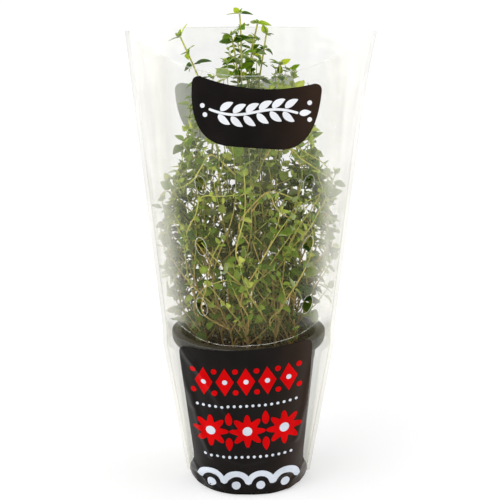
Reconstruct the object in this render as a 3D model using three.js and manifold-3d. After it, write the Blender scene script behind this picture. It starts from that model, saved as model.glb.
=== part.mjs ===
// A supermarket pot of thyme: a black plastic pot of potting mix, the thyme plants growing in it,
// and the clear film sleeve that the pot stands in. Millimetres, +Z up, front towards -Y.
// The origin is on the floor, under the middle of the pot.
import * as THREE from "three";
import { mergeVertices } from "three/addons/utils/BufferGeometryUtils.js";
import Module from "manifold-3d";

const wasm = await Module();
wasm.setup();

// ---- Driving dimensions ----
const GAP = 0.3; // clearance between pieces that touch
const FILM = 0.4; // sleeve film
const INK = 0.3; // printed panels on the film

const POT = {
  height: 105,
  footRadius: 37.5,
  neckRadius: 46.5,
  rimRadius: 52.5,
  rimHeight: 10,
  lip: 2.5, // radius of the rounded top of the rim
  curlIn: 5.2, // how far the rim's lower part curls in towards the wall
  curlHeight: 7,
  curlSteps: 4,
  wall: 1.1,
  footHeight: 2.5,
  footRing: 6, // width of the ring that the pot stands on
  segments: 36,
  drainHoles: 6,
  drainRadius: 3.5,
  drainCircle: 22,
};

const SOIL = { depthBelowRim: 9, dome: 2.5, rings: 3 };

const SLEEVE = {
  height: 307, // side corners and back edge
  frontDip: 25, // how far the front edge is scooped down in the middle
  dipPower: 2.2,
  halfWidth: { base: 40.6, rim: 56.5, mouth: 78.2 }, // from the middle to the side welds
  halfDepth: { base: 41, rim: 52.8, mouth: 47 }, // front and back, pressed out by the pot's rim
  weld: 2.5, // width of the flat weld along each side
  roundness: 2.6, // powers of the lens-shaped section, rounder than a parabola
  fullness: 1 / 1.4,
  columns: 17, // vertical lines of points between the welds, both ends included
  rows: [30, 62, 94, 108, 140, 174, 208, 236, 262], // heights between the bottom and top edge
};
const PRINT_SHIFT = 4; // the film sits turned a little, so its holes and print lie off centre

const VENTS = {
  spacingX: 68.5,
  heights: [133, 173, 213],
  halfWidth: 3.2,
  halfHeight: 5.8,
  tilt: 0.28, // of each hole's top, outwards
  sides: 10,
};
const UPPER_PANEL = { z: 258, halfWidth: 40.5, top: 21, sag: 5, bottom: 21, corner: 5, tilt: 0.07 };
const LOWER_PANEL = {
  top: 106,
  rise: 3, // of the right end of its top edge, and the fall of the left end
  halfTop: 43.5,
  halfBottom: 36,
  flareZ: 10, // it widens below this, where the film crumples at the foot
  halfFlare: 40,
  corner: 6,
};
const BACK_PANEL = { shift: -9, drop: 7 }; // from the front one's place

const SPRIGS = 40;
const STEM = { radius: 0.8, sides: 4, steps: 9 }; // thyme stems are square
const LEAF = { length: 8.5, halfWidth: 2.4, halfThickness: 0.4, rise: 0.75, pairs: 4, spacing: 23 };
const STAND = {
  baseRadius: 36, // circle that the stems rise from
  canopyX: 51, // outermost stems at mid height, across
  canopyY: 38, // and front to back
  fanHeight: 75, // height over which the stems spread out
  innerTop: 286, // stem tips, from the middle of the stand to its edge
  outerTop: 206,
  crown: 4, // power of the distance from the middle: the stand's top is flat and its edge falls
  heightJitter: 9,
  wander: 2.4, // sideways waves of each stem
  waves: 1.6,
};
// Tips of the plants in the middle that grow out of the sleeve's mouth.
const LEADER_TIPS = [
  [-8, -6, 318],
  [7, 5, 311],
  [-13, -8, 304],
  [10, -1, 304],
  [-42, -8, 303],
  [23, -8, 285],
  [0, 15, 297],
];
const LEADER_LEAN = 2.5; // power of the height: they lean most near their tips

// ---- Materials ----
const plastic = (color, roughness) => new THREE.MeshStandardMaterial({ color, roughness, metalness: 0 });
const clearFilm = { color: 0xf4f4f0, roughness: 0.12, metalness: 0, transparent: true, opacity: 0.25 };
const MATERIALS = {
  pot: plastic(0x26262a, 0.5),
  soil: plastic(0x2e231b, 1),
  film: new THREE.MeshStandardMaterial(clearFilm),
  ink: plastic(0x15120f, 0.25),
  thyme: plastic(0x4f7a2c, 0.65),
};

const part = new THREE.Group();

function addPiece(name, geometry, material) {
  const mesh = new THREE.Mesh(geometry, material.clone());
  mesh.name = name;
  part.add(mesh);
}

// ---- Joining and cutting ----
function solidOf(geometry) {
  const bare = geometry.clone();
  bare.deleteAttribute("normal");
  bare.deleteAttribute("uv");
  const merged = mergeVertices(bare, 1e-4);
  const vertProperties = new Float32Array(merged.attributes.position.array);
  const triVerts = new Uint32Array(merged.index.array);
  return new wasm.Manifold(new wasm.Mesh({ numProp: 3, vertProperties, triVerts }));
}

function geometryOf(solid) {
  const { vertProperties, triVerts } = solid.getMesh();
  const geometry = new THREE.BufferGeometry();
  geometry.setAttribute("position", new THREE.BufferAttribute(new Float32Array(vertProperties), 3));
  geometry.setIndex(new THREE.BufferAttribute(new Uint32Array(triVerts), 1));
  geometry.computeVertexNormals();
  return geometry;
}

// A lathe about +Z. Three.js turns its profile about +Y.
function latheAboutZ(profile) {
  const points = profile.map(([radius, z]) => new THREE.Vector2(radius, z));
  return new THREE.LatheGeometry(points, POT.segments).rotateX(Math.PI / 2);
}

// ---- Pot ----
const potBase = FILM + GAP; // the pot stands on the sleeve's bottom film
const floorTop = potBase + POT.footHeight + POT.wall;
const rimTop = potBase + POT.height;
const neckZ = rimTop - POT.rimHeight;

// The wall slopes out to the bottom of the rim and is upright behind it.
function outerRadius(z) {
  const share = Math.min(1, (z - potBase) / (neckZ - potBase));
  return THREE.MathUtils.lerp(POT.footRadius, POT.neckRadius, share);
}
const innerRadius = (z) => outerRadius(z) - POT.wall;

// The rim's lower part, a quarter of an ellipse, from its widest point down to its edge near the wall.
function rimCurl(inset) {
  const points = [];
  for (let i = 0; i <= POT.curlSteps; i++) {
    const angle = (Math.PI / 2) * (i / POT.curlSteps);
    const radius = POT.rimRadius - POT.curlIn + (POT.curlIn - inset) * Math.cos(angle);
    points.push([radius, neckZ + POT.curlHeight - (POT.curlHeight - inset) * Math.sin(angle)]);
  }
  return points;
}

// Up the outside, round the rim and down the inside to the floor.
function potProfile() {
  const { wall, footRadius, footRing, footHeight, neckRadius, rimRadius, lip } = POT;
  const bevel = 0.3 * lip;
  return [
    [0, potBase + footHeight],
    [footRadius - footRing, potBase + footHeight],
    [footRadius - footRing + 1, potBase],
    [footRadius - bevel, potBase],
    [outerRadius(potBase + bevel), potBase + bevel],
    [neckRadius, neckZ],
    [neckRadius, rimTop - lip],
    [rimRadius - wall, rimTop - lip],
    ...rimCurl(wall),
    ...rimCurl(0).reverse(),
    [rimRadius, rimTop - lip],
    [rimRadius - bevel, rimTop - bevel],
    [rimRadius - lip, rimTop],
    [neckRadius, rimTop],
    [neckRadius - wall, rimTop - bevel],
    [neckRadius - wall, neckZ],
    [innerRadius(floorTop), floorTop],
    [0, floorTop],
  ];
}

function makePot() {
  let pot = solidOf(latheAboutZ(potProfile()));
  for (let i = 0; i < POT.drainHoles; i++) {
    const angle = (2 * Math.PI * i) / POT.drainHoles;
    const drill = new THREE.CylinderGeometry(POT.drainRadius, POT.drainRadius, 4 * POT.footHeight, 10);
    drill.rotateX(Math.PI / 2);
    drill.translate(POT.drainCircle * Math.cos(angle), POT.drainCircle * Math.sin(angle), floorTop);
    pot = pot.subtract(solidOf(drill));
  }
  return geometryOf(pot);
}
addPiece("pot", makePot(), MATERIALS.pot);

// ---- Soil ----
const soilEdgeZ = rimTop - SOIL.depthBelowRim;
const soilEdgeRadius = innerRadius(soilEdgeZ) - GAP;

function soilTop(radius) {
  return soilEdgeZ + SOIL.dome * (1 - (radius / soilEdgeRadius) ** 2);
}

function soilProfile() {
  const bottom = floorTop + GAP;
  const profile = [[0, bottom], [innerRadius(bottom) - GAP, bottom]];
  for (let i = SOIL.rings; i >= 0; i--) {
    const radius = (soilEdgeRadius * i) / SOIL.rings;
    profile.push([radius, soilTop(radius)]);
  }
  return profile;
}
addPiece("soil", latheAboutZ(soilProfile()), MATERIALS.soil);

// ---- Sleeve ----
const weldOffset = (GAP + FILM) / 2; // of each panel's middle from the plane of the welds
const panelBottom = FILM + GAP;

// The film is stretched straight from the foot to the rim, lies level over the rim, and is straight
// again from there to the mouth. Gives a half width or half depth at height z.
function alongSleeve({ base, rim, mouth }, z) {
  const below = THREE.MathUtils.clamp(z / (neckZ - 1), 0, 1);
  const above = THREE.MathUtils.clamp((z - rimTop) / (SLEEVE.height - rimTop), 0, 1);
  return THREE.MathUtils.lerp(base, rim, below) + (mouth - rim) * above;
}
const sleeveHalfWidth = (z) => alongSleeve(SLEEVE.halfWidth, z);

// Distance of the film from the plane of the side welds, at a share of the half width from -1 to 1.
function bulge(share, z) {
  const { roundness, fullness } = SLEEVE;
  return alongSleeve(SLEEVE.halfDepth, z) * (1 - Math.abs(share) ** roundness) ** fullness;
}

function topEdge(share, isFront) {
  const dip = isFront ? SLEEVE.frontDip * (1 - Math.abs(share) ** SLEEVE.dipPower) : 0;
  return SLEEVE.height - dip;
}

// A point in the middle of a panel's film. Columns 0 and last are the outer edges of the welds.
function filmPoint(column, row, isFront) {
  const last = SLEEVE.columns + 1;
  const inner = THREE.MathUtils.clamp((column - 1) / (last - 2), 0, 1);
  const share = -Math.cos(Math.PI * inner);
  const z = [panelBottom, ...SLEEVE.rows, topEdge(share, isFront)][row];
  const edge = column === 0 ? -SLEEVE.weld : column === last ? SLEEVE.weld : 0;
  const out = weldOffset + bulge(share, z);
  return new THREE.Vector3(share * sleeveHalfWidth(z) + edge, isFront ? -out : out, z);
}

// One panel of film, or a layer lying off its outer face. A segmented box's vertices are moved to
// the panel; offset is the distance of the layer's middle from the film's middle.
function panelGeometry(isFront, offset, thickness) {
  const lastColumn = SLEEVE.columns + 1;
  const lastRow = SLEEVE.rows.length + 1;
  const box = new THREE.BoxGeometry(1, 1, 1, lastColumn, lastRow, 1);
  const position = box.attributes.position;
  for (let i = 0; i < position.count; i++) {
    const column = Math.round((position.getX(i) + 0.5) * lastColumn);
    const row = Math.round((position.getY(i) + 0.5) * lastRow);
    const before = filmPoint(Math.max(0, column - 1), row, isFront);
    const after = filmPoint(Math.min(lastColumn, column + 1), row, isFront);
    const outward = new THREE.Vector3(after.y - before.y, before.x - after.x, 0).normalize();
    if (!isFront) outward.negate();
    const point = filmPoint(column, row, isFront);
    point.addScaledVector(outward, offset + position.getZ(i) * thickness);
    position.setXYZ(i, point.x, point.y, point.z);
  }
  return isFront ? box : turnedInsideOut(box);
}

// The back panel is the front one mirrored, so its triangles have to be turned round.
function turnedInsideOut(geometry) {
  const index = geometry.index.array;
  for (let i = 0; i < index.length; i += 3) {
    const second = index[i + 1];
    index[i + 1] = index[i + 2];
    index[i + 2] = second;
  }
  return geometry;
}

// The air holes are punched through both panels while the sleeve is flat.
function punched(film) {
  let solid = film;
  for (const side of [-1, 1]) {
    for (const z of VENTS.heights) {
      const punch = new THREE.CylinderGeometry(1, 1, 4 * SLEEVE.halfDepth.rim, VENTS.sides);
      punch.scale(VENTS.halfWidth, 1, VENTS.halfHeight).rotateY(side * VENTS.tilt);
      punch.translate(PRINT_SHIFT + (side * VENTS.spacingX) / 2, 0, z);
      solid = solid.subtract(solidOf(punch));
    }
  }
  return solid;
}

addPiece("sleeve_front_film", geometryOf(punched(solidOf(panelGeometry(true, 0, FILM)))), MATERIALS.film);
addPiece("sleeve_back_film", geometryOf(punched(solidOf(panelGeometry(false, 0, FILM)))), MATERIALS.film);

// The film under the pot, with the lens-shaped outline of the panels' bottom edges.
function sleeveBottomGeometry() {
  const outline = [];
  for (const isFront of [true, false]) {
    for (let i = 1; i <= SLEEVE.columns; i++) {
      const column = isFront ? i : SLEEVE.columns + 1 - i;
      const point = filmPoint(column, 0, isFront);
      outline.push(new THREE.Vector2(point.x, point.y));
    }
  }
  return new THREE.ExtrudeGeometry(new THREE.Shape(outline), { depth: FILM, bevelEnabled: false });
}
addPiece("sleeve_bottom_film", sleeveBottomGeometry(), MATERIALS.ink);

// ---- Printed panels ----
// A printed panel is a layer of ink on the film, cut to its outline. The outline lies in X and Z.
function printedPanel(outline, isFront) {
  const reach = 2 * SLEEVE.halfDepth.rim;
  const cutter = new THREE.ExtrudeGeometry(outline, { depth: reach, bevelEnabled: false, curveSegments: 4 });
  cutter.rotateX(Math.PI / 2);
  if (!isFront) cutter.translate(0, reach, 0);
  const layer = solidOf(panelGeometry(isFront, FILM / 2 + GAP + INK / 2, INK));
  return geometryOf(layer.intersect(solidOf(cutter)));
}

// A bowl-shaped panel: a sagging top edge, round corners, and one wide curve below.
function upperOutline(centreX, drop) {
  const { z, halfWidth, top, sag, bottom, corner, tilt } = UPPER_PANEL;
  const shape = new THREE.Shape();
  shape.moveTo(-halfWidth, top - corner);
  shape.quadraticCurveTo(-halfWidth, -bottom, -halfWidth * 0.35, -bottom);
  shape.lineTo(halfWidth * 0.4, -bottom);
  shape.quadraticCurveTo(halfWidth, -bottom, halfWidth, top - corner);
  shape.quadraticCurveTo(halfWidth, top, halfWidth - corner, top);
  shape.quadraticCurveTo(0, top - 2 * sag, corner - halfWidth, top);
  shape.quadraticCurveTo(-halfWidth, top, -halfWidth, top - corner);
  const middle = new THREE.Vector2(0, 0);
  const place = new THREE.Vector2(centreX, z - drop);
  const placed = shape.getPoints(4).map((point) => point.rotateAround(middle, -tilt).add(place));
  return new THREE.Shape(placed.slice(0, -1));
}

// The panel round the pot, flared where the film crumples at the foot.
function lowerOutline() {
  const { top, rise, halfTop, halfBottom, flareZ, halfFlare, corner } = LOWER_PANEL;
  const bottom = panelBottom + 0.5;
  const shape = new THREE.Shape();
  shape.moveTo(-halfFlare, bottom);
  shape.lineTo(halfFlare, bottom);
  shape.quadraticCurveTo(halfFlare, flareZ, halfBottom, 2 * flareZ);
  shape.lineTo(halfTop, top + rise - corner);
  shape.quadraticCurveTo(halfTop, top + rise, halfTop - corner, top + rise);
  shape.lineTo(corner - halfTop, top - rise);
  shape.quadraticCurveTo(-halfTop, top - rise, -halfTop, top - rise - corner);
  shape.lineTo(-halfBottom, 2 * flareZ);
  shape.quadraticCurveTo(-halfFlare, flareZ, -halfFlare, bottom);
  return shape;
}

addPiece("upper_front_print", printedPanel(upperOutline(PRINT_SHIFT, 0), true), MATERIALS.ink);
addPiece("lower_front_print", printedPanel(lowerOutline(), true), MATERIALS.ink);
const backOutline = upperOutline(BACK_PANEL.shift, BACK_PANEL.drop);
addPiece("upper_back_print", printedPanel(backOutline, false), MATERIALS.ink);

// ---- Thyme plants ----
const GOLDEN_ANGLE = Math.PI * (3 - Math.sqrt(5));

// A repeatable number from 0 to 1 for plant i and use k.
function chance(i, k) {
  const wave = Math.sin(i * 127.1 + k * 311.7) * 43758.5453;
  return wave - Math.floor(wave);
}

// Where plant i leaves the soil, and its tip.
function stemEnds(i) {
  const { baseRadius, canopyX, canopyY, innerTop, outerTop, crown, heightJitter } = STAND;
  const rank = Math.sqrt((i + 0.5) / SPRIGS);
  const across = rank * Math.cos(i * GOLDEN_ANGLE);
  const deep = rank * Math.sin(i * GOLDEN_ANGLE);
  const root = new THREE.Vector3(baseRadius * across, baseRadius * deep, soilTop(baseRadius * rank) + GAP);
  if (LEADER_TIPS[i]) return { root, tip: new THREE.Vector3(...LEADER_TIPS[i]) };
  const jitter = heightJitter * (2 * chance(i, 2) - 1);
  const height = THREE.MathUtils.lerp(innerTop, outerTop, rank ** crown) + jitter;
  return { root, tip: new THREE.Vector3(canopyX * across, canopyY * deep, height) };
}

// The point of plant i's main stem at a share t of its height. The stems fan out first and then rise,
// apart from those that grow out of the mouth.
function stemPoint(i, t) {
  const { fanHeight, wander, waves } = STAND;
  const { root, tip } = stemEnds(i);
  const fan = Math.sin((Math.min(1, (t * (tip.z - root.z)) / fanHeight) * Math.PI) / 2);
  const lean = LEADER_TIPS[i] ? t ** LEADER_LEAN : fan;
  const phase = 2 * Math.PI * (waves * t + chance(i, 3));
  const swing = wander * Math.sin((Math.min(1, 2 * t) * Math.PI) / 2);
  return new THREE.Vector3(
    THREE.MathUtils.lerp(root.x, tip.x, lean) + swing * Math.sin(phase),
    THREE.MathUtils.lerp(root.y, tip.y, lean) + swing * Math.cos(0.8 * phase + i),
    THREE.MathUtils.lerp(root.z, tip.z, t),
  );
}

function stemSolid(i) {
  const section = new THREE.Shape();
  for (let k = 0; k < STEM.sides; k++) {
    const angle = (2 * Math.PI * k) / STEM.sides;
    const corner = [STEM.radius * Math.cos(angle), STEM.radius * Math.sin(angle)];
    if (k === 0) section.moveTo(...corner);
    else section.lineTo(...corner);
  }
  const points = [];
  for (let k = 0; k <= STEM.steps; k++) points.push(stemPoint(i, k / STEM.steps));
  const extrudePath = new THREE.CatmullRomCurve3(points);
  return solidOf(new THREE.ExtrudeGeometry(section, { steps: STEM.steps, extrudePath }));
}

// A leaf along +Y from the origin, thickest and widest in its middle.
const BLADE = new THREE.OctahedronGeometry(1).translate(0, 1, 0);
BLADE.scale(LEAF.halfWidth, LEAF.length / 2, LEAF.halfThickness);

// What the leaves keep clear of: the middle line of every stem, and every leaf placed so far.
const LINE_POINTS = 60;
const stemLines = Array.from({ length: SPRIGS }, (_sprig, i) => {
  return Array.from({ length: LINE_POINTS + 1 }, (_point, k) => stemPoint(i, k / LINE_POINTS));
});
const placedLeaves = [];

function insideSleeve(point) {
  const share = Math.abs(point.x) / sleeveHalfWidth(point.z);
  return share < 1 && Math.abs(point.y) + 2 * LEAF.halfWidth < bulge(share, point.z);
}

// True if some two points of the lines are nearer than the distance.
function comeNear(line, other, distance) {
  return other.some((q) => line.some((p) => p.distanceTo(q) < distance));
}

// True if a leaf of plant i along the line touches no other plant and stays inside the sleeve.
function isClear(i, line) {
  const fromStem = LEAF.halfWidth + STEM.radius + GAP;
  const fromLeaf = 2 * LEAF.halfWidth + GAP;
  if (!line.every(insideSleeve)) return false;
  if (stemLines.some((stem, j) => j !== i && comeNear(line, stem, fromStem))) return false;
  return !placedLeaves.some((leaf) => leaf.plant !== i && comeNear(line, leaf.line, fromLeaf));
}

// A leaf on plant i's stem, turned about it until it finds room. Gives nothing where there is none.
function leafSolid(i, t, heading) {
  const base = stemPoint(i, t);
  for (const turn of [0, 0.4, -0.4, 0.8, -0.8]) {
    const across = new THREE.Vector3(-Math.sin(heading + turn), Math.cos(heading + turn), 0);
    const along = new THREE.Vector3(across.y, -across.x, LEAF.rise).normalize();
    const line = [0.35, 0.65, 1].map((share) => base.clone().addScaledVector(along, share * LEAF.length));
    if (!isClear(i, line)) continue;
    placedLeaves.push({ plant: i, line });
    const face = new THREE.Vector3().crossVectors(across, along);
    const place = new THREE.Matrix4().makeBasis(across, along, face).setPosition(base);
    return solidOf(BLADE.clone().applyMatrix4(place));
  }
  return null;
}

// One plant: its stem, and opposite pairs of leaves, each pair turned a quarter from the one above.
function makeSprig(i) {
  let sprig = stemSolid(i);
  const { root, tip } = stemEnds(i);
  for (let pair = 0; pair < LEAF.pairs; pair++) {
    const t = 1 - (LEAF.halfWidth + pair * LEAF.spacing) / (tip.z - root.z);
    const heading = 2 * Math.PI * chance(i, 4) + (pair * Math.PI) / 2;
    for (const leaf of [leafSolid(i, t, heading), leafSolid(i, t, heading + Math.PI)]) {
      if (leaf) sprig = sprig.add(leaf);
    }
  }
  return geometryOf(sprig);
}

for (let i = 0; i < SPRIGS; i++) {
  addPiece(`thyme_sprig_${String(i + 1).padStart(2, "0")}`, makeSprig(i), MATERIALS.thyme);
}

export default part;
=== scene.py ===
"""A pot of thyme in its printed clear film sleeve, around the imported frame. Shapes are worked out in mm."""

import random
from math import copysign, cos, dist, exp, floor, hypot, pi, radians, sin, sqrt

import bmesh
import bpy
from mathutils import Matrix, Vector, noise
from mathutils.geometry import delaunay_2d_cdt


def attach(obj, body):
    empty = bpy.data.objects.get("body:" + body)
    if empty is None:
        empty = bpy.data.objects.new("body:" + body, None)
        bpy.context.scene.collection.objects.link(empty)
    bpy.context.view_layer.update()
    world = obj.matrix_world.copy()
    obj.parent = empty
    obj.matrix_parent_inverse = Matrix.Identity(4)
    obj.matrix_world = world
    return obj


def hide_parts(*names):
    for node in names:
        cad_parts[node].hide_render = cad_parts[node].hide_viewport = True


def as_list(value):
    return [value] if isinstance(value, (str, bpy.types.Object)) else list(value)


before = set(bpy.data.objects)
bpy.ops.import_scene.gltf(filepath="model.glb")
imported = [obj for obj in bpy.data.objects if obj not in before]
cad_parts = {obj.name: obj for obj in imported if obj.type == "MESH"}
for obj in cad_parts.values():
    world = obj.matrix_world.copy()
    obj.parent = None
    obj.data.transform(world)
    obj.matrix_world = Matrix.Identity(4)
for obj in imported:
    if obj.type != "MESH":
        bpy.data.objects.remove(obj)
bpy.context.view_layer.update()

MM = 0.001
GAP = 0.3
UP = Vector((0, 0, 1))

# Pot and soil, as in the CAD model.
POT_BASE = 0.7
POT_FOOT, POT_NECK, POT_RIM = 37.5, 46.5, 52.5
NECK_Z, RIM_TOP = 95.7, 105.7
RIM_LIP, CURL_IN, CURL_HEIGHT = 2.5, 5.2, 7
WALL = 1.1
FOOT_HEIGHT, FOOT_RING = 2.5, 6
FLOOR_TOP = POT_BASE + FOOT_HEIGHT + WALL
DRAIN_HOLES, DRAIN_RADIUS, DRAIN_CIRCLE = 6, 3.5, 22
SOIL_EDGE_Z, SOIL_EDGE_RADIUS, SOIL_DOME = 96.7, 45.1, 2.5

# Sleeve, as in the CAD model.
SLEEVE_TOP, SLEEVE_BOTTOM = 307, 0.7
FRONT_DIP, DIP_POWER = 25, 2.2
HALF_WIDTH = (40.6, 56.5, 78.2)
HALF_DEPTH = (41, 52.8, 47)
WELD = 2.5
FLARE, FLARE_START = 0.04, 235
HALF_GAP = 0.12  # from the middle plane to each film at the welds
ROUNDNESS, FULLNESS = 2.6, 1 / 1.4
PRINT_SHIFT, BACK_SHIFT, BACK_DROP = 4, -9, 7
VENT_SPACING, VENT_HEIGHTS = 68.5, (133, 173, 213)
VENT_HALF_WIDTH, VENT_HALF_HEIGHT, VENT_TILT = 3.2, 5.8, 0.28
VENTS = [(PRINT_SHIFT + side * VENT_SPACING / 2, z, side) for side in (-1, 1) for z in VENT_HEIGHTS]

# Thyme, as in the CAD model.
SPRIGS = 40
BASE_RADIUS, CANOPY_X, CANOPY_Y, FAN_HEIGHT = 36, 51, 38, 75
INNER_TOP, OUTER_TOP, CROWN, HEIGHT_JITTER = 286, 206, 4, 9
WANDER, WAVES = 2.4, 1.6
LEADER_TIPS = [
    *((-8, -6, 318), (7, 5, 311), (-13, -8, 304), (10, -1, 304)),
    *((-42, -8, 303), (23, -8, 285), (0, 15, 297)),
]
LEADER_LEAN = 2.5
GOLDEN_ANGLE = pi * (3 - sqrt(5))


def lerp(a, b, share):
    return a + (b - a) * share


def clamp(value, low=0.0, high=1.0):
    return max(low, min(high, value))


def between(a, b, share):
    return lerp(a[0], b[0], share), lerp(a[1], b[1], share)


def waves(x, y, z):
    """Smooth noise from -1 to 1."""
    return noise.noise(Vector((x, y, z)))


# ---- Meshes ----
def add_object(name, data):
    item = bpy.data.objects.new(name, data)
    bpy.context.scene.collection.objects.link(item)
    return item


class Build:
    """Vertices and faces in mm, with each face's material and the colours of its corners."""

    def __init__(self):
        self.vertices, self.faces, self.materials, self.tints = [], [], [], []

    def add(self, vertices, faces, materials=0, tints=None):
        """materials is one number, or a list of one for each face. tints holds one colour for each face,
        or one list of corner colours for each face."""
        first = len(self.vertices)
        self.vertices.extend(vertices)
        self.faces.extend([first + v for v in face] for face in faces)
        self.materials.extend(materials if isinstance(materials, list) else [materials] * len(faces))
        for face, tint in zip(faces, tints or [(1, 1, 1)] * len(faces)):
            self.tints.append(tint if isinstance(tint, list) else [tint] * len(face))

    def piece(self, name, materials, sharp=None):
        """The mesh as a piece that rides on the body, and stands for the CAD node of its name."""
        mesh = bpy.data.meshes.new(name)
        mesh.from_pydata([tuple(c * MM for c in v) for v in self.vertices], [], self.faces)
        for material in materials:
            mesh.materials.append(material)
        mesh.polygons.foreach_set("material_index", self.materials)
        mesh.polygons.foreach_set("use_smooth", [True] * len(self.faces))
        tint = mesh.color_attributes.new("tint", "FLOAT_COLOR", "CORNER")
        tint.data.foreach_set("color", [c for face in self.tints for colour in face for c in (*colour, 1)])
        if sharp:
            mesh.set_sharp_from_angle(angle=radians(sharp))
        mesh.update()
        item = add_object(name, mesh)
        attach(item, "root")
        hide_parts(name)
        return item


# ---- Materials ----
class Nodes:
    """Short ways to add nodes to a tree. An input is a number, a colour or another node's output."""

    def __init__(self, tree):
        self.tree = tree

    def feed(self, socket, source):
        if isinstance(source, bpy.types.NodeSocket):
            self.tree.links.new(source, socket)
        else:
            socket.default_value = source

    def node(self, kind, inputs=None, **settings):
        node = self.tree.nodes.new(kind)
        for key, value in settings.items():
            setattr(node, key, value)
        for socket, source in (inputs or {}).items():
            self.feed(node.inputs[socket], source)
        return node

    def math(self, operation, a, b=0.0):
        return self.node("ShaderNodeMath", {0: a, 1: b}, operation=operation).outputs[0]

    def axis(self, vector, name):
        return self.node("ShaderNodeSeparateXYZ", {"Vector": vector}).outputs[name]

    def spread(self, value, low, high, start=0.0, end=1.0, kind="LINEAR"):
        """A value from start to end, spread from low to high."""
        inputs = {"Value": value, "From Min": start, "From Max": end, "To Min": low, "To Max": high}
        return self.node("ShaderNodeMapRange", inputs, interpolation_type=kind).outputs["Result"]


class Paint(Nodes):
    """A material whose constants are on its shader, and whose colour, roughness and bump are nodes."""

    def __init__(self, name, constants):
        self.material = bpy.data.materials.new(name)
        self.material.use_nodes = True
        super().__init__(self.material.node_tree)
        self.shader = self.tree.nodes["Principled BSDF"]
        for socket, value in constants.items():
            self.set(socket, value)

    def set(self, socket, source):
        self.feed(self.shader.inputs[socket], source)

    def place(self):
        return self.node("ShaderNodeTexCoord").outputs["Object"]

    def tint(self, output):
        """The mesh's colour: own colour, with painted shade in the plants and painted sheen in the film."""
        return self.node("ShaderNodeAttribute", attribute_name="tint").outputs[output]

    def noise(self, scale, detail=3.0, stretch=(1, 1, 1)):
        """Noise with grains of about 1/scale metres, from 0 to 1."""
        place = self.node("ShaderNodeMapping", {"Vector": self.place(), "Scale": stretch}).outputs["Vector"]
        inputs = {"Vector": place, "Scale": scale, "Detail": detail}
        return self.node("ShaderNodeTexNoise", inputs).outputs["Fac"]

    def ramp(self, factor, *stops):
        node = self.node("ShaderNodeValToRGB", {"Fac": factor})
        elements = node.color_ramp.elements
        while len(elements) < len(stops):
            elements.new(0.5)
        for element, (position, colour) in zip(elements, stops):
            element.position = position
            element.color = (*colour, 1)
        return node.outputs["Color"]

    def mix(self, factor, a, b, blend="MIX"):
        node = self.node("ShaderNodeMix", {0: factor, 6: a, 7: b}, data_type="RGBA", blend_type=blend)
        return node.outputs[2]

    def finish(self, colour, grain, low, high, bumps=None, size=0.0):
        """Sets the colour, a roughness from low to high in grains, and bumps of size mm, which are noise
        as bumps says. Gives the material."""
        self.set("Base Color", colour)
        self.set("Roughness", self.spread(self.noise(grain), low, high))
        if bumps:
            inputs = {"Height": self.noise(*bumps), "Distance": size * MM, "Strength": 1.0}
            self.set("Normal", self.node("ShaderNodeBump", inputs).outputs["Normal"])
        return self.material


def tinted(name, constants, mottle, grain, bump):
    """A plant material: the mesh's colours, mottled. They hold the plants' own colours and painted shade."""
    paint = Paint(name, constants)
    spots = paint.ramp(paint.noise(grain), (0.3, (1 - mottle,) * 3), (0.7, (1 + mottle,) * 3))
    colour = paint.mix(1.0, paint.tint("Color"), spots, "MULTIPLY")
    return paint.finish(colour, grain * 2, 0.45, 0.7, [grain * 3], bump)


def film_material(name, body, roughness, veil=0.0):
    """Clear film. It mirrors more the flatter it is seen, and its body holds back a little light. The
    mesh's colour says how hazy the film is: clear in the middle, and white towards the welds, where
    the film turns and the whiteness is a painted reflection, and veil is how much more it holds back."""
    paint = Paint(name, {"Metallic": 0.85})
    haze_and_sheen = paint.tint("Fac")
    clinging, clear = (0.0, (0.15, 0.125, 0.06)), (0.2, (0.43, 0.43, 0.22))
    # The hazy tones are the film's haze with a painted reflection, whiter towards the welds.
    hazy_and_sheen = (0.32, (0.7, 0.68, 0.58)), (0.6, (0.8, 0.78, 0.7)), (1.0, (0.95, 0.94, 0.9))
    bands = paint.ramp(paint.noise(55, 3, (1, 1, 0.12)), (0.35, (0.84,) * 3), (0.65, (1.16,) * 3))
    tone = paint.mix(1.0, paint.ramp(haze_and_sheen, clinging, clear, *hazy_and_sheen), bands, "MULTIPLY")
    flat = paint.node("ShaderNodeLayerWeight", {"Blend": 0.5}).outputs["Facing"]
    mirror = paint.math("MINIMUM", paint.math("MULTIPLY", paint.math("POWER", flat, 4.0), 0.8), 0.4)
    streaks = paint.spread(paint.noise(38, 3, (1, 1, 0.22)), body * 0.6, body * 1.4)
    # The painted sheen also makes the film more opaque towards the welds.
    veiled = paint.spread(haze_and_sheen, 0.0, veil, 0.34, 0.6, "SMOOTHSTEP")
    paint.set("Alpha", paint.math("ADD", paint.math("ADD", mirror, streaks), veiled))
    return paint.finish(tone, 120, roughness * 0.7, roughness * 1.3, [60, 2, (1, 1, 0.35)], 0.3)


def ink_material(name, dark, light, roughness, gloss=0.18, brown=None):
    """Printing ink on the film. brown is the colour that a thin black print turns to on the right."""
    paint = Paint(name, {"IOR": 1.35, "Specular IOR Level": gloss})
    ink = paint.ramp(paint.noise(55, 4), (0.35, dark), (0.65, light))
    if brown:
        wave = paint.math("MULTIPLY", paint.noise(45, 2), 0.02)
        wavy = paint.math("ADD", paint.axis(paint.place(), "X"), wave)
        ink = paint.mix(paint.spread(wavy, 0.0, 1.0, 0.022, 0.058), ink, (*brown, 1))
    return paint.finish(ink, 120, roughness * 0.8, roughness * 1.2, [90, 2], 0.12)


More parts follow.
